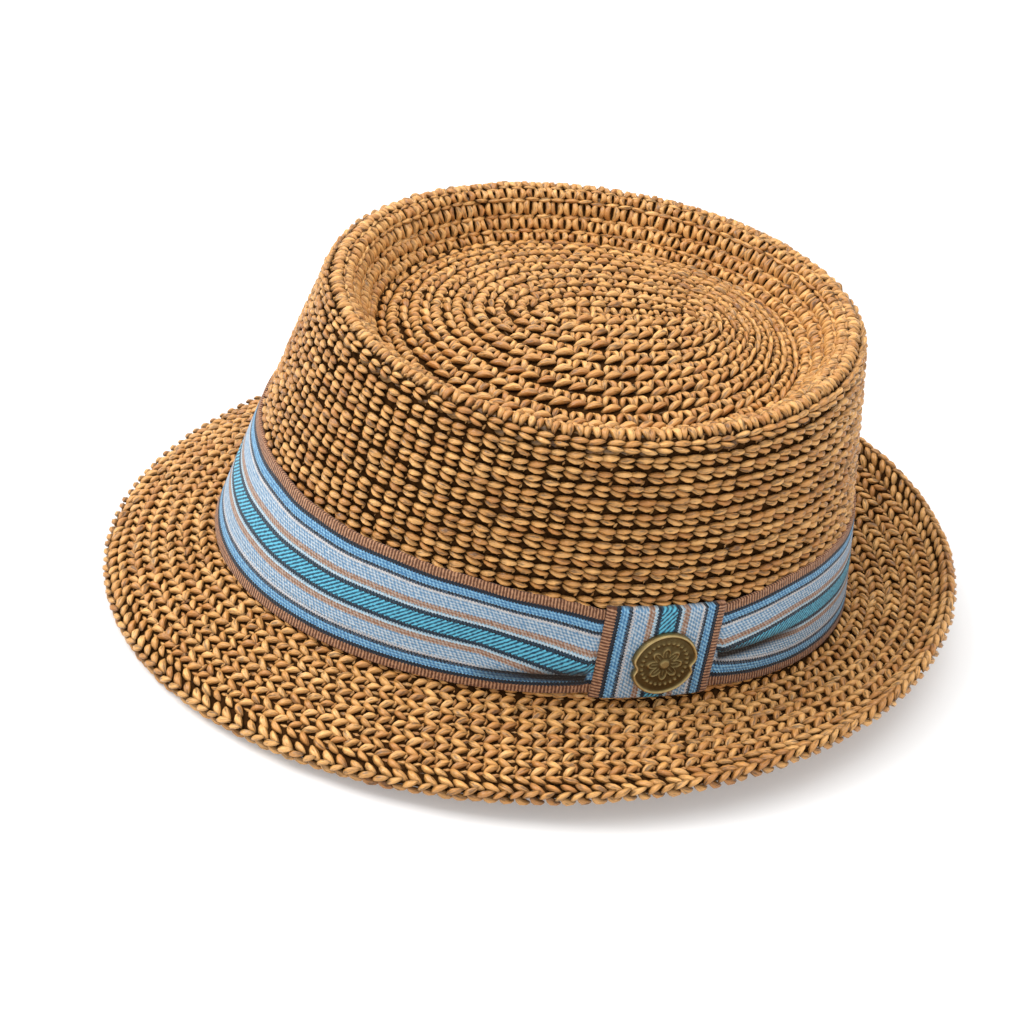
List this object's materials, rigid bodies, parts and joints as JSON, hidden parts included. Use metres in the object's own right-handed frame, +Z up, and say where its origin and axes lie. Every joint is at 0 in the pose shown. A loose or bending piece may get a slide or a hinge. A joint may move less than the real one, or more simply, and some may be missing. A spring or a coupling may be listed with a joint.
{
  "type": "porkpie hat",
  "caption": "Crocheted straw porkpie hat with a pinched flat-topped crown, a short turned-up brim, a striped ribbon band with a keeper, and a plain metal badge.",
  "frame": {"origin": "centre of the footprint, on the surface that the hat rests on", "axes": "+Z up, -Y towards the front of the hat, +X towards the wearer's left, where the badge is"},
  "size_m": [0.2458, 0.273, 0.1024],
  "materials": {
    "straw": "crocheted paper straw, caramel, slightly glossy",
    "ribbon": "woven ribbon, blue, navy, tan and cream stripes with brown ribbed edges",
    "badge": "aged dark brass"
  },
  "bodies": {
    "root": {"straw_body": "straw", "ribbon_band": "ribbon", "ribbon_keeper": "ribbon", "badge": "badge"}
  },
  "joints": []
}
